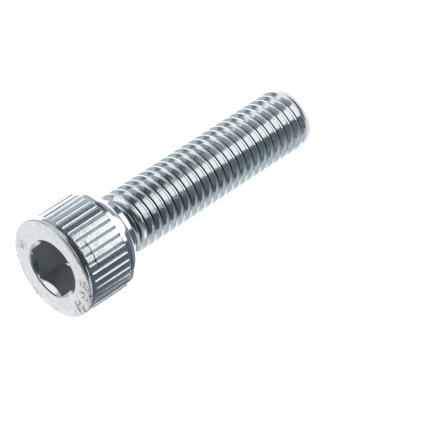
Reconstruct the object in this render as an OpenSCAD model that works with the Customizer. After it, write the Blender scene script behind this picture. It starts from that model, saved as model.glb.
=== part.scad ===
// Hex socket cap screw, standing on the flat end of its point with the socket on top.
// Millimetres. +Z is up, along the screw's axis from the point to the socket.
// The origin is the middle of the flat end of the point.

/* [Head] */
// diameter over the grooved side of the head
head_d = 16.2; // [15.8:0.1:16.3]
// height of the head, from the bearing face to the socket end
head_h = 10; // [9.6:0.1:10]
// radius of the rounded edge round the socket end
head_edge_r = 0.3; // [0.2:0.1:0.6]
// diameter of the flat bearing face
bearing_d = 14.5; // [14.3:0.1:15]
// height of the smooth belt between the bearing face and the grooves
belt_h = 2.05; // [1.8:0.05:2.4]
// how far the smooth belt stands back from the grooved side
belt_step = 0.1; // [0.05:0.05:0.2]
// height over which the smooth belt rounds out from the bearing face
belt_round_h = 1.4; // [1:0.1:1.6]

/* [Grooves] */
// number of grooves round the head
groove_n = 38; // [34:2:42]
// plain height between the top of the grooves and the socket end
groove_start = 0.95; // [0.8:0.05:1.4]
// width of a groove across its mouth
groove_w = 0.44; // [0.36:0.02:0.5]
// depth of a groove
groove_depth = 0.26; // [0.2:0.02:0.3]
// length over which a groove runs out at its top
groove_runout = 0.35; // [0.2:0.05:0.5]

/* [Socket] */
// distance across the flats of the socket
socket_af = 8.1; // [8:0.05:8.2]
// depth of the six flats
socket_depth = 5.2; // [5:0.1:5.6]
// depth of the cone at the bottom of the socket
socket_cone_h = 1.1; // [0.8:0.1:1.4]
// diameter of the countersink at the mouth of the socket
mouth_d = 10.6; // [9.6:0.1:10.8]
// full angle of the countersink
mouth_angle = 120; // [110:5:130]
// angle from +X to one corner of the socket and to one groove
head_turn = 30; // [0:1:59]

/* [Shank] */
// outside diameter of the thread
thread_d = 9.85; // [9.74:0.01:9.96]
// length of the screw below the bearing face
shank_l = 40; // [30:1:40]
// diameter of the plain neck under the head
neck_d = 9.03; // [8.9:0.01:9.1]
// length of the neck, from the bearing face to the first thread
neck_l = 2.4; // [2:0.1:3]
// radius of the fillet between the neck and the bearing face
fillet_r = 0.6; // [0.4:0.1:0.8]
// diameter of the flat end of the point
point_d = 7.5; // [7:0.1:8]

/* [Thread] */
// distance the thread climbs in one turn
pitch = 1.5; // [1.5:0.25:1.75]
// diameter at the bottom of the thread
root_d = 8.05; // [7.9:0.05:8.2]
// width of the narrow band on the crest
crest_w = 0.19; // [0.12:0.01:0.25]
// full angle between the two sides of the thread
flank_angle = 60; // [55:1:62]
// height over which the thread fades out below the neck
fade_l = 1.5; // [1:0.1:2]
// how far the thread is turned about its axis
thread_turn = 305; // [0:5:355]

/* [Hidden] */
head_r = head_d / 2;
belt_r = head_r - belt_step;
bearing_r = bearing_d / 2;
thread_r = thread_d / 2;
root_r = root_d / 2;
neck_r = neck_d / 2;
point_r = point_d / 2;
neck_z = shank_l - neck_l;
top_z = shank_l + head_h;
// the belt rounds out on one arc that starts at the bearing face and ends along the side
belt_gain = belt_r - bearing_r;
belt_round_r = (belt_gain * belt_gain + belt_round_h * belt_round_h) / (2 * belt_gain);
// distance from the axis to the mouth of a groove
groove_r = sqrt(head_r * head_r - groove_w * groove_w / 4);
groove_top_z = top_z - groove_start;
socket_corner_r = socket_af / 2 / cos(30);
mouth_h = (mouth_d / 2) / tan(mouth_angle / 2);
cone_tip_r = 0.6;
// section of one turn of the thread: crest, side, bottom, side; [distance from the axis, height]
side_h = min((thread_r - root_r) * tan(flank_angle / 2), (pitch - crest_w) / 2 - 0.02);
turn_section = [[thread_r, -crest_w / 2], [thread_r, crest_w / 2],
    [root_r, crest_w / 2 + side_h], [root_r, pitch - crest_w / 2 - side_h]];
corners = len(turn_section);
steps = 30;
rows = corners * (ceil(neck_z / pitch) + 3);
// the faded end of the thread reaches a little way into the neck
fade_r = neck_r - 0.02;
fade_end_z = neck_z - 0.2;
eps = 0.01;

// Side view of the head, turned about the axis.
module head_profile() {
    difference() {
        translate([0, shank_l]) union() {
            translate([0, belt_h]) square([head_r, head_h - belt_h]);
            translate([0, belt_round_h]) square([belt_r, belt_h - belt_round_h + eps]);
            intersection() {
                square([belt_r, belt_round_h + eps]);
                union() {
                    translate([belt_r - belt_round_r, belt_round_h]) circle(belt_round_r);
                    square([belt_r - belt_round_r, belt_round_h + eps]);
                }
            }
        }
        translate([head_r - head_edge_r, top_z - head_edge_r]) difference() {
            square(head_edge_r + eps);
            circle(head_edge_r);
        }
    }
}

// Side view of the neck and of its fillet under the head.
module neck_profile() {
    translate([0, neck_z]) square([neck_r, neck_l + eps]);
    translate([0, shank_l - fillet_r]) difference() {
        square([neck_r + fillet_r, fillet_r + eps]);
        translate([neck_r + fillet_r, 0]) circle(fillet_r);
    }
}

// Share of the fade at a height: 0 on the full thread, 1 at its end.
function fade(z) = let (s = max(0, min(1, (z - fade_end_z + fade_l) / fade_l))) s * s * (3 - 2 * s);

// Distance from the axis of a corner of the section, chamfered at the point and faded at the neck.
function thread_out(r, z) = min(r + (fade_r - r) * fade(z), point_r + z);

// Corner of the thread in a row of the section and at a step of the turn.
function thread_point(row, step) =
    let (
        corner = turn_section[row % corners],
        z = corner[1] + pitch * (floor(row / corners) + step / steps - 2),
        a = 360 * step / steps + thread_turn,
        inside = z > 0 && z < fade_end_z,
        r = inside ? thread_out(corner[0], z) : z <= 0 ? point_r : fade_r,
        end_z = z <= 0 ? 0 : neck_z + 0.5
    )
    [r * cos(a), r * sin(a), inside ? z : end_z];

// Number of a corner in the list of points; past the last step, the next turn goes on.
function thread_id(row, step) = step < steps ? row * steps + step : (row + corners) * steps;

// Whether the corners of a triangle are three different points.
function is_whole(p) = p[0] != p[1] && p[1] != p[2] && p[0] != p[2];

// The threaded shank: one turn's section, carried round while it climbs by one pitch a turn.
module thread() {
    points = [for (row = [0:rows + corners], step = [0:steps - 1]) thread_point(row, step)];
    sides = [for (row = [0:rows - 1], step = [0:steps - 1])
        let (
            a = thread_id(row, step),
            b = thread_id(row, step + 1),
            c = thread_id(row + 1, step + 1),
            d = thread_id(row + 1, step)
        )
        each [[a, d, c], [a, c, b]]];
    whole = [for (f = sides) if (is_whole([for (i = f) points[i]])) f];
    bottom = [for (step = [0:steps - 1]) thread_id(0, step)];
    top = [for (step = [steps - 1:-1:0]) thread_id(rows, step)];
    polyhedron(points, concat(whole, [bottom, top]));
}

// One groove tool: a V-shaped bar along the side of the head, with a sloping top.
module groove_tool() {
    proud = 0.2;
    mouth = groove_w / 2 * (groove_depth + proud) / groove_depth;
    difference() {
        translate([0, 0, shank_l + belt_h - eps])
            linear_extrude(head_h - belt_h - groove_start + eps)
                polygon([[groove_r - groove_depth, 0], [groove_r + proud, mouth], [groove_r + proud, -mouth]]);
        translate([groove_r - groove_depth, 0, groove_top_z - groove_runout])
            rotate([0, -atan(groove_runout / groove_depth), 0])
                translate([0, -1, 0]) cube([3, 2, 3]);
    }
}

module grooves() {
    for (i = [0:groove_n - 1])
        rotate([0, 0, head_turn + i * 360 / groove_n]) groove_tool();
}

// The hexagon hole with a cone at its bottom and a countersink at its mouth.
module socket() {
    translate([0, 0, top_z - socket_depth])
        rotate([0, 0, head_turn]) cylinder(h = socket_depth + eps, r = socket_corner_r, $fn = 6);
    translate([0, 0, top_z - socket_depth - socket_cone_h])
        intersection() {
            cylinder(h = socket_cone_h, r1 = cone_tip_r, r2 = socket_af / 2);
            rotate([0, 0, head_turn]) cylinder(h = socket_cone_h, r = socket_corner_r, $fn = 6);
        }
    translate([0, 0, top_z - mouth_h + eps]) cylinder(h = mouth_h, r1 = 0, r2 = mouth_d / 2);
}

module screw() {
    color([0.72, 0.75, 0.77])
        union() {
            difference() {
                rotate_extrude() union() {
                    head_profile();
                    neck_profile();
                }
                grooves();
                socket();
            }
            thread();
        }
}

screw();
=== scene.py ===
# %% [markdown]
# # A hex socket cap screw
# This script dresses the packed CAD screw for the camera. The screw stands on the flat end of its
# point, with the socket on top, in the frame of the CAD model. Its shapes are modelled in
# millimetres, as a drawing of a screw gives them, and scaled to Blender's metres once, at the end.

# %% Load the frame
import math

import bmesh
import bpy
from mathutils import Matrix, Vector


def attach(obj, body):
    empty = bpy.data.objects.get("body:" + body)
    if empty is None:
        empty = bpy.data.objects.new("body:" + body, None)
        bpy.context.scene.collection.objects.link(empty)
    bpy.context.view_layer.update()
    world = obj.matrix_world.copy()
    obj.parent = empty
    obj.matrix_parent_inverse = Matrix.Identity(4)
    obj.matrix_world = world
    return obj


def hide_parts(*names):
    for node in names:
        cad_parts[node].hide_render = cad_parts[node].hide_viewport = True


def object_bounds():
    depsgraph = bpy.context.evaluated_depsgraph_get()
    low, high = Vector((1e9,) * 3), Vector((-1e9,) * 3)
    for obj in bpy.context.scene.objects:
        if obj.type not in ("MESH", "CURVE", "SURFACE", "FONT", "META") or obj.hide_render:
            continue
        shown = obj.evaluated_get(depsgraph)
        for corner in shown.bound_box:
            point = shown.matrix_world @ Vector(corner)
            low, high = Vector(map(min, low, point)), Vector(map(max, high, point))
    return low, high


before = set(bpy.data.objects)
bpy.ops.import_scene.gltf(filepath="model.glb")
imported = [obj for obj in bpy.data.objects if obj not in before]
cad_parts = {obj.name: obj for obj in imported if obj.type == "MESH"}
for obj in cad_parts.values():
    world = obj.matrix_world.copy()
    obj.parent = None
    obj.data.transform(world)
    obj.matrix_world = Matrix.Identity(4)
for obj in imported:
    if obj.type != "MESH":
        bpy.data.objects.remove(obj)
cad_box = [list(corner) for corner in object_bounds()]
MM = 0.001
print("CAD box in mm:", [[round(v / MM, 2) for v in corner] for corner in cad_box])

# %% [markdown]
# ## The main sizes
# A cap screw is one piece of steel, so its sizes hang together. The head's radius and the full
# height are read from the CAD box. The knurl has 38 grooves, and twelve columns of the mesh make one
# groove with its land. Twelve times 38 is 456, which 6 divides too, so the corners of the hexagon
# fall on columns as well.

# %% Main sizes in millimetres
HEAD_R = round(cad_box[1][0] / MM, 2)
TOP_Z = round(cad_box[1][2] / MM, 2)
SHANK_L = 40.0
HEAD_TURN = math.radians(30)
GROOVE_N = 38
GROOVE_COLUMNS = 12
COLUMNS = GROOVE_N * GROOVE_COLUMNS
print("head radius, full height and columns:", HEAD_R, TOP_Z, COLUMNS)

# %% [markdown]
# ## The head
# The real head is forged together with its hexagon. In Blender it could be cut with booleans, but
# one chain of points that is spun about the axis leaves clean quads and needs no repair. The chain
# runs from the middle of the socket's floor, up the flats, over the countersink and the face, down
# the side and under the head to the neck.
#
# The countersink leads the key into the socket. Real ones have a shallow lip round a steeper cone,
# so its slope is given at a few radii, and its height is the slope summed up from the face inwards.

# %% Slopes of the countersink
MOUTH_R = 5.0
CONE_R = 4.69
CONE_SLOPE = 40
BEND_W = 0.05
MOUTH_SLOPES = [(MOUTH_R, 0), (MOUTH_R - BEND_W, 19), (CONE_R + BEND_W, 22), (CONE_R, CONE_SLOPE)]
SUM_STEPS = 40


def mouth_slope(radius):
    """Slope of the countersink in degrees at a distance from the axis."""
    for (outer, outer_slope), (inner, inner_slope) in zip(MOUTH_SLOPES, MOUTH_SLOPES[1:]):
        if radius >= inner:
            return outer_slope + (inner_slope - outer_slope) * (outer - radius) / (outer - inner)
    return CONE_SLOPE


def mouth_z(radius):
    """Height of the countersink at a distance from the axis."""
    step = (MOUTH_R - radius) / SUM_STEPS
    middles = [MOUTH_R - (i + 0.5) * step for i in range(SUM_STEPS)]
    return TOP_Z - sum(math.tan(math.radians(mouth_slope(r))) * step for r in middles)


print("depth at the cone's outer edge:", round(TOP_Z - mouth_z(CONE_R), 3))

# %% [markdown]
# The socket is a hexagon hole with a shallow cone at its bottom, left by the punch. Here its chain
# runs up one flat. The rings of the countersink lie close together at both bends of its slope, so
# that each bend shows as a clear thin line and not as a wide smear.

# %% Profile of the socket
SOCKET_AF = 8.1
SOCKET_DEPTH = 5.2
FLOOR_CONE_H = 1.1
FLOOR_CENTRE_R = 0.6
FLOOR_LEDGE = 0.05
FLAT_RING_DEPTH = 1.2
flat_r = SOCKET_AF / 2
flats_z = TOP_Z - SOCKET_DEPTH
floor_part = [(FLOOR_CENTRE_R, flats_z - FLOOR_CONE_H), (flat_r - FLOOR_LEDGE, flats_z)]
hex_part = [(flat_r, flats_z), (flat_r, TOP_Z - FLAT_RING_DEPTH), (flat_r, mouth_z(flat_r))]
lip_rings = [CONE_R + gap for gap in (0.0, 0.02, BEND_W, 0.15)]
lip_rings += [MOUTH_R - gap for gap in (BEND_W, 0.02, 0.0)]
lip_part = [(r, mouth_z(r)) for r in lip_rings]
print("points from the floor to the face:", len(floor_part + hex_part + lip_part))

# %% [markdown]
# The edge between the face and the knurled side is rounded softly, more down than across, so a
# quarter of an ellipse fits it better than a round bevel. Below it the grooves start with a short
# sloping run-out, and they end at the smooth belt.

# %% Profile of the side
EDGE_W = 0.3
EDGE_H = 0.85
EDGE_TURNS = (90, 75, 60, 45, 33, 22, 11, 0)
GROOVE_START = 0.95
GROOVE_RUNOUT = 0.35
BELT_H = 2.05


def edge_point(degrees):
    """A point of the rounded edge, from 90 degrees at the face to 0 at the side."""
    turn = math.radians(degrees)
    return HEAD_R - EDGE_W + EDGE_W * math.cos(turn), TOP_Z - EDGE_H + EDGE_H * math.sin(turn)


edge_part = [edge_point(degrees) for degrees in EDGE_TURNS]
groove_top = TOP_Z - GROOVE_START
groove_full = groove_top - GROOVE_RUNOUT
belt_top = SHANK_L + BELT_H
groove_part = [(HEAD_R, groove_top), (HEAD_R, groove_full), (HEAD_R, belt_top)]
print("length of the full grooves:", round(groove_full - belt_top, 2))

# %% [markdown]
# The smooth belt stands back a little from the knurl and rounds in to the flat bearing face, which
# presses on the clamped part. A fillet joins that face to the neck, because a sharp corner there
# would let the head break off. Round stretches get their points from one arc helper.

# %% Profile under the head
BELT_R = 8.0
BELT_ROUND_H = 1.4
BEARING_R = 7.25
FILLET_R = 0.6
NECK_R = 4.515
NECK_L = 2.4
NECK_GAP = 0.5


def arc(centre, radius, start, end, count):
    """Points on an arc in the (r, z) plane, angles in degrees from +r towards +z, both ends in."""
    angles = [math.radians(start + (end - start) * i / count) for i in range(count + 1)]
    return [(centre[0] + radius * math.cos(t), centre[1] + radius * math.sin(t)) for t in angles]


thread_top = SHANK_L - NECK_L
belt_gain = BELT_R - BEARING_R
belt_round_r = (belt_gain**2 + BELT_ROUND_H**2) / (2 * belt_gain)
belt_end = -math.degrees(math.asin(BELT_ROUND_H / belt_round_r))
belt_part = [(BELT_R, belt_top)]
belt_part += arc((BELT_R - belt_round_r, SHANK_L + BELT_ROUND_H), belt_round_r, 0, belt_end, 6)
fillet_part = arc((NECK_R + FILLET_R, SHANK_L - FILLET_R), FILLET_R, 90, 180, 6)
neck_part = [(NECK_R, thread_top + NECK_GAP)]
print("radius of the belt's rounding:", round(belt_round_r, 2))

# %% [markdown]
# The parts of the profile now make one chain of edges in the XZ plane, and the spin carries it round
# in 456 columns. A turn then brings the columns in line with the corners of the CAD hexagon.

# %% Spin the head
head_points = floor_part + hex_part + lip_part + edge_part + groove_part + belt_part
head_points += fillet_part + neck_part


def chain(bm, points):
    """A chain of edges through (r, z) points in the XZ plane."""
    verts = [bm.verts.new((r, 0, z)) for r, z in points]
    return verts + [bm.edges.new(pair) for pair in zip(verts, verts[1:])]


head = bmesh.new()
bmesh.ops.spin(
    head,
    geom=chain(head, head_points),
    cent=(0, 0, 0),
    axis=(0, 0, 1),
    angle=math.tau,
    steps=COLUMNS,
    use_merge=True,
)
bmesh.ops.rotate(head, verts=head.verts, cent=(0, 0, 0), matrix=Matrix.Rotation(HEAD_TURN, 3, "Z"))
print("points in the chain:", len(head_points), "faces after the spin:", len(head.faces))

# %% [markdown]
# The rings of the flats are still round. Each of their points moves straight out until it lies on
# the hexagon. The top ring also takes the height of the countersink at its new place, which gives
# the curved edges that a real countersink leaves above the flats.

# %% Press the hexagon
TOUCH = 0.001
MOUTH_DEPTH = 1.0


def polar(vert):
    """Distance from the axis and angle about it."""
    return math.hypot(vert.co.x, vert.co.y), math.atan2(vert.co.y, vert.co.x)


def set_place(vert, radius, turn):
    """Moves a vertex to a distance from the axis and an angle about it."""
    vert.co.x = radius * math.cos(turn)
    vert.co.y = radius * math.sin(turn)


def hexagon_r(turn):
    """Distance from the axis to the hexagon in the direction of an angle."""
    off_flat = (turn - HEAD_TURN) % math.radians(60) - math.radians(30)
    return flat_r / math.cos(off_flat)


for vert in head.verts:
    radius, turn = polar(vert)
    if vert.co.z > flats_z - TOUCH and flat_r - TOUCH < radius < MOUTH_R - TOUCH:
        pressed_r = max(radius, hexagon_r(turn))
        set_place(vert, pressed_r, turn)
        if vert.co.z > TOP_Z - MOUTH_DEPTH:
            vert.co.z = mouth_z(pressed_r)
print("distance to a corner of the hexagon:", round(hexagon_r(HEAD_TURN), 3))

# %% [markdown]
# The knurl lets fingers start the screw. Its grooves are pressed into the steel, so they have soft
# shoulders and a sharp bottom. Of every twelve columns, five are moved: one to the bottom, two to
# the slopes and two to the shoulders. Bump in a material would be cheaper, but it would leave the
# outline of the head smooth. A single face then closes the middle of the socket's floor.

# %% Press the grooves
GROOVE_W = 0.44
GROOVE_DEPTH = 0.26
SLOPE_COLUMN = (0.15, 0.06)
SHOULDER_DEPTH = 0.012
GROOVE_SHAPE = {0: (0.0, GROOVE_DEPTH), 1: SLOPE_COLUMN, 2: (GROOVE_W / 2, SHOULDER_DEPTH)}
half_groove = GROOVE_COLUMNS // 2


def groove_step(turn):
    """How many columns an angle is away from the middle of its groove."""
    column = round((turn - HEAD_TURN) / math.tau * COLUMNS) % COLUMNS
    return (column + half_groove) % GROOVE_COLUMNS - half_groove


for vert in head.verts:
    radius, turn = polar(vert)
    step = groove_step(turn)
    in_band = radius > HEAD_R - TOUCH and belt_top - TOUCH < vert.co.z < groove_full + TOUCH
    if in_band and abs(step) in GROOVE_SHAPE:
        across, depth = GROOVE_SHAPE[abs(step)]
        middle = turn - step / COLUMNS * math.tau
        set_place(vert, HEAD_R - depth, middle + math.copysign(across / HEAD_R, step))
floor_ring = [edge for edge in head.edges if edge.is_boundary and edge.verts[0].co.z > SHANK_L]
bmesh.ops.edgeloop_fill(head, edges=floor_ring)
print("faces of the head:", len(head.faces))

# %% [markdown]
# ## Where the camera looks from
# The thread starts at one place, so the screw looks a little different from every side. The photo's
# start of the thread is met when the camera looks from 60 degrees to the side of -Y, and from there
# the hexagon looks as it does from -Y. Every mark of wear, the camera and the studio are written as
# if the camera stood at -Y, and then they are turned together by this angle.

# %% Turn of the view
VIEW_TURN = math.radians(-60)
view_turn = Matrix.Rotation(VIEW_TURN, 3, "Z")
print("the camera looks from", [round(v, 2) for v in view_turn @ Vector((0, -1, 0))])

# %% [markdown]
# ## The burr
# Where a key has slipped, the edge of a socket is often turned up into a thin sharp burr. This one
# is a sliver with four corners, closed by a convex hull: three lie just under the surface of the
# countersink, and the tip leans in over the socket. It is little more than a millimetre long and
# needs no rounder shape.

# %% Burr at the edge of the socket
BURR_ROOT = [(-0.80, -4.85, TOP_Z - 0.08), (-1.30, -4.72, TOP_Z - 0.08), (-1.05, -4.80, TOP_Z - 0.40)]
BURR_TIP = (-0.35, -3.55, TOP_Z - 0.24)
burr = [head.verts.new(view_turn @ Vector(corner)) for corner in BURR_ROOT + [BURR_TIP]]
bmesh.ops.convex_hull(head, input=burr)
print("faces with the burr:", len(head.faces), "its length:", round((burr[3].co - burr[0].co).length, 2))

# %% [markdown]
# ## The thread
# A rolled M10 thread climbs 1.5 mm a turn. Its sides stand about 60 degrees apart, and its crests
# and roots are rounded by the rolling dies. The Screw modifier could make it too, but here the
# section is a plain list of points that can be checked. Each side has one more point near either
# end, which keeps the smooth shading of the roundings off the flat side between them.

# %% Section of one turn
PITCH = 1.5
THREAD_R = 4.925
CREST_W = 0.19
CREST_ROUND = 0.09
CREST_EASE = 0.02
CREST_DIP = 0.004
ROOT_R = 4.02
ROOT_ROUND = 0.2
SUPPORTS = (0.05, 0.95)


def between(first, second, share):
    """A point on the line between two points."""
    return tuple(a + (b - a) * share for a, b in zip(first, second))


def thread_section():
    """One turn's section from root to root, as (r, z), with the crest in the middle."""
    shoulder = arc((THREAD_R - CREST_ROUND, CREST_W / 2 - CREST_EASE), CREST_ROUND, 0, 60, 3)
    root = arc((ROOT_R + ROOT_ROUND, PITCH / 2), ROOT_ROUND, 240, 180, 4)
    side = [between(shoulder[-1], root[0], share) for share in SUPPORTS]
    upper = [(THREAD_R - CREST_DIP, 0.0)] + shoulder + side + root
    lower = [(r, -z) for r, z in reversed(upper[1:])]
    half_angle = math.atan2(root[0][1] - shoulder[-1][1], shoulder[-1][0] - root[0][0])
    print("degrees between the sides of the thread:", round(2 * math.degrees(half_angle), 1))
    return lower + upper


section = thread_section()
print("points in a turn:", len(section))

# %% [markdown]
# The chain holds the section of every turn, one above the other. One spin carries it round while it
# climbs by one pitch, so that each turn ends where the next one starts, and the doubles merge.

# %% Spin the thread
THREAD_STEPS = 114
THREAD_TURN = math.radians(305)
SPARE_TURNS = 2
MERGE_GAP = 0.002
thread_points = []
for number in range(math.ceil(SHANK_L / PITCH) + 2 * SPARE_TURNS):
    base = (number - SPARE_TURNS - THREAD_TURN / math.tau) * PITCH
    thread_points += [(r, z + base) for r, z in section[:-1]]
thread = bmesh.new()
bmesh.ops.spin(
    thread,
    geom=chain(thread, thread_points),
    cent=(0, 0, 0),
    axis=(0, 0, 1),
    dvec=(0, 0, PITCH / THREAD_STEPS),
    angle=math.tau,
    steps=THREAD_STEPS,
)
bmesh.ops.remove_doubles(thread, verts=thread.verts, dist=MERGE_GAP)
print("points in the chain:", len(thread_points), "thread faces:", len(thread.faces))

# %% [markdown]
# Under the neck the rolled thread fades out over one turn, and the point is chamfered so that it
# finds its hole. Both come from moving the points in or out. Then two planes trim the ends, and the
# lower one is closed with a face.

# %% Fade and trim the thread
FADE_L = PITCH
POINT_R = 3.75
TRIM_LAP = 0.02
TRIM_SNAP = 0.0005


def smooth_step(value):
    """Runs from 0 to 1 with soft ends."""
    value = min(max(value, 0.0), 1.0)
    return value * value * (3 - 2 * value)


for vert in thread.verts:
    radius, turn = polar(vert)
    share = smooth_step((vert.co.z - (thread_top - FADE_L)) / FADE_L)
    faded_r = radius + (NECK_R - radius) * share
    set_place(vert, min(faded_r, POINT_R + max(vert.co.z, 0.0)), turn)
for trim_z, side in ((0.0, -1), (thread_top + TRIM_LAP, 1)):
    bmesh.ops.bisect_plane(
        thread,
        geom=thread.verts[:] + thread.edges[:] + thread.faces[:],
        dist=TRIM_SNAP,
        plane_co=(0, 0, trim_z),
        plane_no=(0, 0, side),
        clear_outer=True,
    )
end_ring = [edge for edge in thread.edges if edge.is_boundary and edge.verts[0].co.z < PITCH]
bmesh.ops.edgeloop_fill(thread, edges=end_ring)
print("thread faces after trimming:", len(thread.faces))

# %% [markdown]
# ## One closed piece
# The real screw is one piece of metal, so head and thread are joined into one closed mesh. The two
# open rings that are left are the ends of the neck, and a bridge closes the gap between them. The
# normals are made to point outwards, and the mesh is scaled to metres.

# %% Join head and thread
thread_mesh = bpy.data.meshes.new("thread_part")
thread.to_mesh(thread_mesh)
thread.free()
head.from_mesh(thread_mesh)
bpy.data.meshes.remove(thread_mesh)
bmesh.ops.bridge_loops(head, edges=[edge for edge in head.edges if edge.is_boundary])
bmesh.ops.recalc_face_normals(head, faces=head.faces)
bmesh.ops.scale(head, vec=(MM, MM, MM), verts=head.verts)
print("open edges left:", len([edge for edge in head.edges if edge.is_boundary]))
print("triangles:", len(head.calc_loop_triangles()))

# %% [markdown]
# The object sits at the origin, unturned and unscaled, as the CAD node does. Shading is smooth,
# except across edges that turn by more than 32 degrees, such as those of the hexagon.

# %% Make the object
SHARP_ANGLE = math.radians(32)


def into_object(name, bm):
    """Makes an object of the scene from a bmesh."""
    mesh = bpy.data.meshes.new(name)
    bm.to_mesh(mesh)
    bm.free()
    made = bpy.data.objects.new(name, mesh)
    bpy.context.scene.collection.objects.link(made)
    return made


zinc_screw = into_object("zinc_screw", head)
zinc_screw.data.shade_smooth()
zinc_screw.data.set_sharp_from_angle(angle=SHARP_ANGLE)
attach(zinc_screw, "root")
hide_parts("screw")
print("size of the screw in mm:", [round(v / MM, 2) for v in zinc_screw.dimensions])

# %% [markdown]
# ## Writing shader maths
# The node tree of a finish is mostly sums on a handful of values. One small class wraps a socket, so
# that an expression such as 1 - mask * 0.5 adds its own Math nodes. A second one holds the tree and
# makes any other node with one method.

# %% Shader maths
class Signal:
    """A value that flows between shader nodes."""

    def __init__(self, graph, socket):
        self.graph = graph
        self.socket = socket

    def math(self, operation, first, second):
        return self.graph.node("ShaderNodeMath", {"operation": operation}, {0: first, 1: second})

    def __add__(self, other):
        return self.math("ADD", self, other)

    def __radd__(self, other):
        return self.math("ADD", other, self)

    def __sub__(self, other):
        return self.math("SUBTRACT", self, other)

    def __rsub__(self, other):
        return self.math("SUBTRACT", other, self)

    def __mul__(self, other):
        return self.math("MULTIPLY", self, other)

    def __rmul__(self, other):
        return self.math("MULTIPLY", other, self)

    def at_most(self, other):
        return self.math("MINIMUM", self, other)

    def at_least(self, other):
        return self.math("MAXIMUM", self, other)


class Graph:
    """A node tree that is built by expressions."""

    def __init__(self, tree):
        self.tree = tree

    def feed(self, node, inputs):
        """Feeds a node's sockets, by name or number, with signals, numbers, colours or vectors."""
        for name, value in inputs.items():
            if isinstance(value, Signal):
                self.tree.links.new(value.socket, node.inputs[name])
            else:
                node.inputs[name].default_value = value

    def node(self, kind, settings=None, inputs=None, output=0):
        """Any node: its settings first, then its inputs. Gives one of its outputs."""
        made = self.tree.nodes.new(kind)
        for name, value in (settings or {}).items():
            setattr(made, name, value)
        self.feed(made, inputs or {})
        return Signal(self, made.outputs[output])

    def vector(self, operation, inputs, output="Vector"):
        """A Vector Math node."""
        return self.node("ShaderNodeVectorMath", {"operation": operation}, inputs, output)

    def soft_step(self, value, zero_at, one_at):
        """Runs from 0 to 1 with soft ends, up or down, as the value goes from one place to another."""
        inputs = {"Value": value, "From Min": zero_at, "From Max": one_at}
        return self.node("ShaderNodeMapRange", {"interpolation_type": "SMOOTHSTEP"}, inputs)

    def blend(self, share, first, second):
        """Between two numbers or number signals."""
        return self.node("ShaderNodeMix", {"data_type": "FLOAT"}, {0: share, 2: first, 3: second})

    def colour(self, share, first, second):
        """Between two colours or colour signals."""
        return self.node("ShaderNodeMix", {"data_type": "RGBA"}, {0: share, 6: first, 7: second}, 2)


def new_finish(name):
    """A new material, its graph and its shader."""
    material = bpy.data.materials.new(name)
    material.use_nodes = True
    return material, Graph(material.node_tree), material.node_tree.nodes["Principled BSDF"]


print("operators:", [name for name in vars(Signal) if name.endswith(("add__", "sub__", "mul__"))])

# %% [markdown]
# ## Zinc
# Bright zinc plate is a metal with a cool tint. It mirrors the studio, but softly and unevenly,
# because the thin plate follows the small dents of rolling and handling underneath. A painted
# texture would need the screw to be unwrapped. Places in millimetres, read from the Object
# coordinates, let each mark be put where a ruler would find it.

# %% Places on the screw
zinc, plating, zinc_shader = new_finish("zinc")
place = plating.node("ShaderNodeTexCoord", output="Object")
place_mm = plating.vector("SCALE", {0: place, "Scale": 1 / MM})
across_mm = plating.vector("MULTIPLY", {0: place_mm, 1: (1, 1, 0)})
out_mm = plating.vector("LENGTH", {0: across_mm}, "Value")
height = plating.node("ShaderNodeSeparateXYZ", {}, {"Vector": place_mm}, output="Z")
in_head = plating.soft_step(height, SHANK_L + 2, SHANK_L + 3)
on_face = plating.soft_step(height, TOP_Z - 0.03, TOP_Z - 0.01)
on_side = plating.soft_step(out_mm, BEARING_R - 0.05, BEARING_R + 0.35)
above_belt = plating.soft_step(height, belt_top - 0.05, belt_top + 0.15)
below_edge = plating.soft_step(height, TOP_Z - 0.7, TOP_Z - 1.0)
knurled = on_side * above_belt * below_edge
print("nodes for the places:", len(zinc.node_tree.nodes))

# %% [markdown]
# Two noises stand for the unevenness of the plate: a coarse one for dents of a millimetre or two,
# and a fine one for its grain.

# %% Dents and grain
def noise(scale, detail=2.0, rough=0.5):
    """Noise with a scale in turns per millimetre."""
    inputs = {"Vector": place_mm, "Scale": scale, "Detail": detail, "Roughness": rough}
    return plating.node("ShaderNodeTexNoise", {}, inputs)


coarse = noise(0.7)
fine = noise(2.2, 3.0)
print("nodes with the noises:", len(zinc.node_tree.nodes))

# %% [markdown]
# Shade is painted into the socket, into the grooves and at the bottom of the thread, so these places are
# darker than the open surfaces. In the socket the painted shade starts just below the cone of the
# countersink, which stays bright.

# %% Painted shade in the recesses
BRIGHT_ZINC = (0.74, 0.77, 0.79, 1)
# Greys of painted shade for the socket, the bottom of the thread and the grooves.
SOCKET_SHADE = (0.60, 0.62, 0.63, 1)
ROOT_SHADE = (0.05, 0.055, 0.06, 1)
GROOVE_SHADE = (0.20, 0.23, 0.26, 1)
cone_z = mouth_z(CONE_R) - (CONE_R - out_mm) * math.tan(math.radians(CONE_SLOPE))
below_cone = plating.soft_step(cone_z - height, 0.05, 0.15)
in_socket = below_cone * plating.soft_step(out_mm, CONE_R + 0.06, CONE_R + 0.03) * in_head
in_root = plating.soft_step(out_mm, ROOT_R + 0.16, ROOT_R + 0.09)
in_root = in_root * plating.soft_step(height, SHANK_L - 3, SHANK_L - 4)
in_groove = knurled * plating.soft_step(out_mm, HEAD_R - 0.06, HEAD_R - 0.16)
# Painted shade on the socket's walls below the cone of the countersink.
base = plating.colour(in_socket, BRIGHT_ZINC, SOCKET_SHADE)
# Painted shade at the bottom of the thread, nearly black.
base = plating.colour(in_root, base, ROOT_SHADE)
# Painted shade in the grooves of the knurl.
base = plating.colour(in_groove * 0.45, base, GROOVE_SHADE)
print("nodes with the recesses:", len(zinc.node_tree.nodes))

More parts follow.
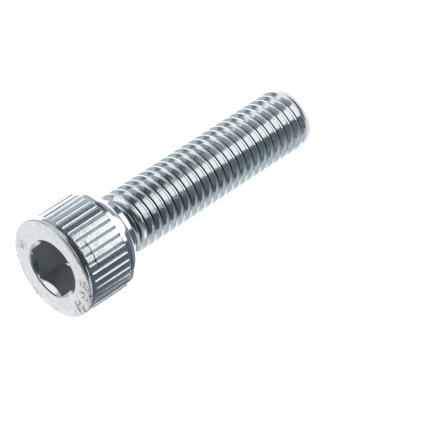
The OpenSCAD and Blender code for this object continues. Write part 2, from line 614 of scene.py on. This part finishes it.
# %% [markdown]
# ## Wear
# The head of this screw is knocked about. At one side of the face, and faintly at two more places,
# the plate is rubbed to brownish steel with dark cuts in it. Round spots give the worn places, and
# noise breaks them up, so that no spot shows its round edge. A soft step cuts the noise into marks:
# the closer its two limits, the harder the edges, and the higher they are, the fewer the marks.

# %% Worn patch
WORN_SPOTS = [
    ((-4.6, -4.9), 0.5, 1.5, 1.0),
    ((-6.1, -3.7), 0.6, 1.8, 1.0),
    ((-6.9, -0.8), 0.5, 1.6, 1.0),
    ((5.5, 3.1), 0.4, 1.4, 0.7),
    ((-1.2, 7.5), 0.3, 0.9, 0.7),
]
WORN_BROWN = (0.30, 0.26, 0.20, 1)
CUT_BROWN = (0.08, 0.075, 0.06, 1)


def near(point, full, ended):
    """Share of a soft round spot about a point: full within one radius, ended at another."""
    inputs = {0: place_mm, 1: view_turn @ Vector(point)}
    away = plating.vector("DISTANCE", inputs, "Value")
    return plating.soft_step(away, ended, full)


patch = 0.0
for (x, y), full, ended, strength in WORN_SPOTS:
    spot = near((x, y, TOP_Z), full, ended) * strength
    patch = spot.at_least(patch)
patch = patch * plating.soft_step(out_mm, MOUTH_R, MOUTH_R + 0.5)
grit = plating.soft_step(noise(2.6, 4.0, 0.7), 0.46, 0.56)
cuts = plating.soft_step(noise(1.3, 3.0, 0.7), 0.54, 0.57)
base = plating.colour(patch * grit * 0.75, base, WORN_BROWN)
base = plating.colour(patch * cuts * 0.95, base, CUT_BROWN)
print("nodes with the worn patch:", len(zinc.node_tree.nodes))

# %% [markdown]
# The rest of the face has small dark specks and a faint mottle. In the middle of the worn patch one
# cut is long enough to be seen as a line, so it is a row of small spots.

# %% Specks, mottle and the long cut
SPECK_GREY = (0.16, 0.16, 0.16, 1)
MOTTLE_GREY = (0.35, 0.38, 0.42, 1)
CUT_BLACK = (0.06, 0.06, 0.06, 1)
CUT_START = (-5.86, -0.23, TOP_Z)
CUT_END = (-7.01, -0.07, TOP_Z)
specks = plating.soft_step(noise(1.9, 2.0, 0.6), 0.66, 0.69)
mottle = plating.soft_step(noise(0.9, 4.0, 0.65), 0.35, 0.65)
base = plating.colour(specks * on_face * 0.8, base, SPECK_GREY)
base = plating.colour(mottle * on_face * 0.22, base, MOTTLE_GREY)
for share in (0.0, 0.25, 0.5, 0.75, 1.0):
    dot = near(between(CUT_START, CUT_END, share), 0.06, 0.22)
    base = plating.colour(dot * 0.9, base, CUT_BLACK)
print("nodes with the marks on the face:", len(zinc.node_tree.nodes))

# %% [markdown]
# A dark scratch crosses the lands of the knurl near their upper end, where something sharp slid
# round the head. It follows one height, and the grain makes it wander a little.

# %% Scratch across the lands
SCRATCH_BELOW_FACE = 2.35
SCRATCH_WANDER = 0.5
SCRATCH_HALF_W = 0.13
SCRATCH_BLACK = (0.08, 0.09, 0.10, 1)


def along_way(way):
    """Distance in millimetres along a direction of the view."""
    inputs = {0: place_mm, 1: view_turn @ Vector(way)}
    return plating.vector("DOT_PRODUCT", inputs, "Value")


scratch_z = TOP_Z - SCRATCH_BELOW_FACE + SCRATCH_WANDER / 2
above_scratch = height + fine * SCRATCH_WANDER - scratch_z
off_scratch = above_scratch.at_least(0 - above_scratch)
rightwards = along_way((1, 0, 0))
scratched = plating.soft_step(rightwards, -3.5, -3.0) * plating.soft_step(rightwards, 0.6, 0.2)
scratched = scratched * plating.soft_step(along_way((0, 1, 0)), -5, -6)
scratch = plating.soft_step(off_scratch, SCRATCH_HALF_W, 0.05) * scratched
base = plating.colour(scratch * 0.85, base, SCRATCH_BLACK)
print("nodes with the scratch:", len(zinc.node_tree.nodes))

# %% [markdown]
# ## The surface of the zinc
# The dents go into a Bump node. They are shallow on the rolled thread and deeper on the head, most of
# all on the lands of the knurl. The roughness rises a little with them, and more where the plate is
# worn, at the bottom of the thread and in the socket.

# %% Surface
DENT_DEPTH = 0.02
dents = (coarse * 0.6 + fine * 0.4) * (in_head * 0.7 + knurled * 1.3 + 0.3)
bump_inputs = {"Height": dents, "Strength": 1.0, "Distance": DENT_DEPTH * MM}
bump = plating.node("ShaderNodeBump", {}, bump_inputs)
roughness = 0.10 + coarse * 0.08 + knurled * 0.08
roughness = roughness + patch * grit * 0.2 + in_root * 0.3 + in_socket * 0.3
surface = {"Base Color": base, "Metallic": 1.0, "Roughness": roughness, "Normal": bump}
plating.feed(zinc_shader, surface)
zinc_screw.data.materials.append(zinc)
print("zinc nodes:", len(zinc.node_tree.nodes))

# %% [markdown]
# ## The camera
# The photo looks down into the socket from about 34 degrees above the screw's cross plane, and from
# far away, so the lens is long. In the photo the screw's axis runs up to the right, with the head
# near the left edge. The screw can't be moved, so the camera is rolled until the standing screw
# leans in the same way, and it aims beside the screw to put it at the photo's place.

# %% Camera
CAMERA_ELEVATION = math.radians(33.647)
CAMERA_ROLL = math.radians(123.725)
CAMERA_AIM = Vector((-7.92, 0.0, 21.037)) * MM
CAMERA_DISTANCE = 390.697 * MM
CAMERA_LENS = 211.041
SENSOR_W = 36.0
camera_data = bpy.data.cameras.new("camera")
camera_data.sensor_width = SENSOR_W
camera_data.lens = CAMERA_LENS
camera_data.clip_start = 10 * MM
camera = bpy.data.objects.new("camera", camera_data)
bpy.context.scene.collection.objects.link(camera)
way_back = Vector((0, -math.cos(CAMERA_ELEVATION), math.sin(CAMERA_ELEVATION)))
stand = Matrix.Translation(CAMERA_AIM + way_back * CAMERA_DISTANCE)
tilt = Matrix.Rotation(math.pi / 2 - CAMERA_ELEVATION, 4, "X")
roll = Matrix.Rotation(-CAMERA_ROLL, 4, "Z")
camera.matrix_world = view_turn.to_4x4() @ stand @ tilt @ roll
bpy.context.scene.camera = camera
print("camera at", [round(v / MM, 1) for v in camera.matrix_world.translation])

# %% [markdown]
# ## The studio
# Polished metal shows its surroundings more than itself, so the studio is built for what the screw
# mirrors. It has a pale floor, cards that lie on it and are seen only in reflections, a sky with
# soft round panels, and one soft lamp.
#
# The lit floor is a pale grey. A glow lifts it to white for the camera, while the soft shadow under
# the point stays, and a weaker glow makes it pale in the reflections too.

# %% Floor
FLOOR_HALF_W = 3.0
FLOOR_GREY = (0.85, 0.85, 0.85, 1)
FLOOR_GLOW = 0.5
MIRRORED_GLOW = 0.4


floor_grid = bmesh.new()
bmesh.ops.create_grid(floor_grid, x_segments=1, y_segments=1, size=FLOOR_HALF_W)
floor = into_object("floor", floor_grid)
floor_paint, floor_nodes, floor_shader = new_finish("floor_paint")
to_camera = floor_nodes.node("ShaderNodeLightPath", output="Is Camera Ray")
through_glass = floor_nodes.node("ShaderNodeLightPath", output="Is Transmission Ray")
mirrored = floor_nodes.node("ShaderNodeLightPath", output="Is Glossy Ray")
floor_glow = (to_camera + through_glass).at_most(1.0) * FLOOR_GLOW + mirrored * MIRRORED_GLOW
floor_surface = {
    "Base Color": FLOOR_GREY,
    "Roughness": 0.9,
    "Specular IOR Level": 0.0,
    "Emission Color": floor_glow,
    "Emission Strength": 1.0,
}
floor_nodes.feed(floor_shader, floor_surface)
floor.data.materials.append(floor_paint)
print("floor width in m:", floor.dimensions.x)

# %% [markdown]
# Photographers lay dark cards beside a shiny thing to give it dark bands, and a bright one to give
# it a highlight. Here each card is a sector of a ring on the floor, spun about the screw's axis. The
# near cards are mostly mirrored by the sides of the thread, and the far ones by the head.

# %% A card on the floor
CARD_LIFT = 0.2
CARD_STEPS = 24


def tint(shade):
    """The colour of a grey that turns bluer as it gets darker."""
    whiteness = min(shade, 1.0)
    return shade * (0.75 + 0.25 * whiteness), shade, shade * (1.15 - 0.15 * whiteness), 1


def card_sector(start, end, inner, outer):
    """A sector on the floor, angles in degrees from -Y towards -X, radii in millimetres."""
    bm = bmesh.new()
    corners = [bm.verts.new((0, -radius * MM, CARD_LIFT * MM)) for radius in (inner, outer)]
    first_edge = bm.edges.new(corners)
    first_turn = Matrix.Rotation(VIEW_TURN - math.radians(start), 3, "Z")
    bmesh.ops.rotate(bm, verts=bm.verts, cent=(0, 0, 0), matrix=first_turn)
    bmesh.ops.spin(
        bm,
        geom=corners + [first_edge],
        cent=(0, 0, 0),
        axis=(0, 0, -1),
        angle=math.radians(end - start),
        steps=CARD_STEPS,
    )
    return bm


def floor_card(name, start, end, inner, outer, shade):
    """A glowing card that only reflections see."""
    made = into_object(name, card_sector(start, end, inner, outer))
    made.visible_camera = False
    made.visible_diffuse = False
    made.visible_shadow = False
    made.visible_transmission = False
    material, nodes, shader = new_finish(name)
    card_surface = {
        "Base Color": (0, 0, 0, 1),
        "Specular IOR Level": 0.0,
        "Emission Color": tint(shade),
        "Emission Strength": 1.0,
    }
    nodes.feed(shader, card_surface)
    made.data.materials.append(material)
    return made


print("a grey of 0.12 becomes", [round(v, 3) for v in tint(0.12)])

# %% [markdown]
# Each row below is a card: its name, its first and last angle, its inner and outer radius, and its
# shade. One is brighter than white: it makes the wide highlight along the middle of the shank.

# %% Lay the cards
CARDS = [
    ("card_right", 34, 104, 60, 400, 0.12),
    ("card_right_grey", 104, 140, 60, 400, 0.30),
    ("card_left", -68, -34, 60, 400, 0.12),
    ("card_left_grey", -104, -68, 60, 400, 0.5),
    ("card_front", -34, 34, 96, 3000, 0.06),
    ("card_near_right", 34, 64, 7, 60, 0.20),
    ("card_near_right_grey", 64, 104, 7, 60, 0.30),
    ("card_near_left", -46, -34, 7, 60, 0.42),
    ("card_near_left_grey", -68, -46, 7, 60, 0.5),
    ("card_bright_front", -20, 19, 4.5, 61, 1.5),
    ("card_thread_left", -34, -21, 7, 61, 0.36),
    ("card_thread_right", 20, 34, 7, 61, 0.17),
]
cards = [floor_card(*card) for card in CARDS]
print("cards on the floor:", len(cards))

# %% [markdown]
# The sky is grey, with round panels in it that are bright or dark. Lamps and hanging cards could
# stand for them, but panels in the sky throw no shadow and stay out of every view. Each row is a
# panel: the direction of its middle, the angle up to which it is full, the angle at which it has
# ended, and its brightness. A later panel lies over the earlier ones.

# %% Sky
SKY_GREY = 0.6
PANELS = [
    ((0.0, 0.84, 0.45), 22, 34, 1.02),
    ((0.51, 0.86, 0.05), 11, 15, 0.95),
    ((-0.51, 0.86, 0.05), 11, 15, 0.95),
    ((0.46, 0.16, 0.87), 8, 13, 0.95),
    ((0.52, -0.12, 0.84), 19, 23, 1.1),
    ((-0.70, 0.08, 0.71), 11, 15, 0.12),
    ((-0.46, -0.22, 0.86), 19, 23, 0.05),
    ((0.573, 0.385, 0.72), 4, 9, 0.20),
    ((0.24, 0.0, 0.97), 4, 7, 0.30),
    ((-0.43, 0.13, 0.89), 5, 14, 0.27),
    ((-0.30, 0.02, 0.95), 8, 12, 0.15),
    ((0.0, 0.45, 0.89), 13, 20, 0.08),
    ((0.22, 0.44, 0.87), 11, 16, 0.04),
    ((-0.20, -0.90, 0.34), 36, 50, 0.06),
    ((0.0, -0.05, 1.0), 8, 11, 1.6),
]
world = bpy.data.worlds.new("studio")
bpy.context.scene.world = world
world.use_nodes = True
sky = Graph(world.node_tree)
direction = sky.node("ShaderNodeTexCoord", output="Generated")


def panel(aim, full, ended):
    """Share of a round panel of the sky, with its angles in degrees."""
    inputs = {0: direction, 1: view_turn @ Vector(aim).normalized()}
    facing = sky.vector("DOT_PRODUCT", inputs, "Value")
    return sky.soft_step(facing, math.cos(math.radians(ended)), math.cos(math.radians(full)))


glow = SKY_GREY
for aim, full, ended, brightness in PANELS:
    glow = sky.blend(panel(aim, full, ended), glow, brightness)
print("panels:", len(PANELS), "sky nodes:", len(world.node_tree.nodes))

# %% [markdown]
# The dark panels get a cool tint, as the reflections in the photo have. The camera itself sees plain
# white behind the screw.

# %% Tint of the sky
WHITE = (1, 1, 1, 1)
red = glow * (0.75 + glow * 0.25).at_most(1.0)
blue = glow * (1.12 - glow * 0.12)
tinted = sky.node("ShaderNodeCombineColor", {}, {"Red": red, "Green": glow, "Blue": blue})
seen_by_camera = sky.node("ShaderNodeLightPath", output="Is Camera Ray")
shown = sky.colour(seen_by_camera, tinted, WHITE)
sky.feed(world.node_tree.nodes["Background"], {"Color": shown, "Strength": 1.0})
print("sky nodes with the tint:", len(world.node_tree.nodes))

# %% [markdown]
# One large soft lamp lights the floor and throws the soft shadow. It is hidden from reflections, so
# that only the panels and cards draw on the metal.

# %% Lamp
LAMP_PLACE = Vector((0.1, -0.15, 0.8))
LAMP_SIZE = 0.5
LAMP_WATTS = 6.0
lamp_data = bpy.data.lights.new("softbox", "AREA")
lamp_data.shape = "DISK"
lamp_data.size = LAMP_SIZE
lamp_data.energy = LAMP_WATTS
lamp = bpy.data.objects.new("softbox", lamp_data)
lamp.location = view_turn @ LAMP_PLACE
lamp.rotation_euler = Vector((0, 0, 1)).rotation_difference(lamp.location).to_euler()
lamp.visible_glossy = False
lamp.visible_camera = False
bpy.context.scene.collection.objects.link(lamp)
print("lamp at", [round(v, 3) for v in lamp.location])

# %% [markdown] ## Finish The Standard view keeps colours as they are written.

# %% Finish
bpy.context.scene.view_settings.view_transform = "Standard"
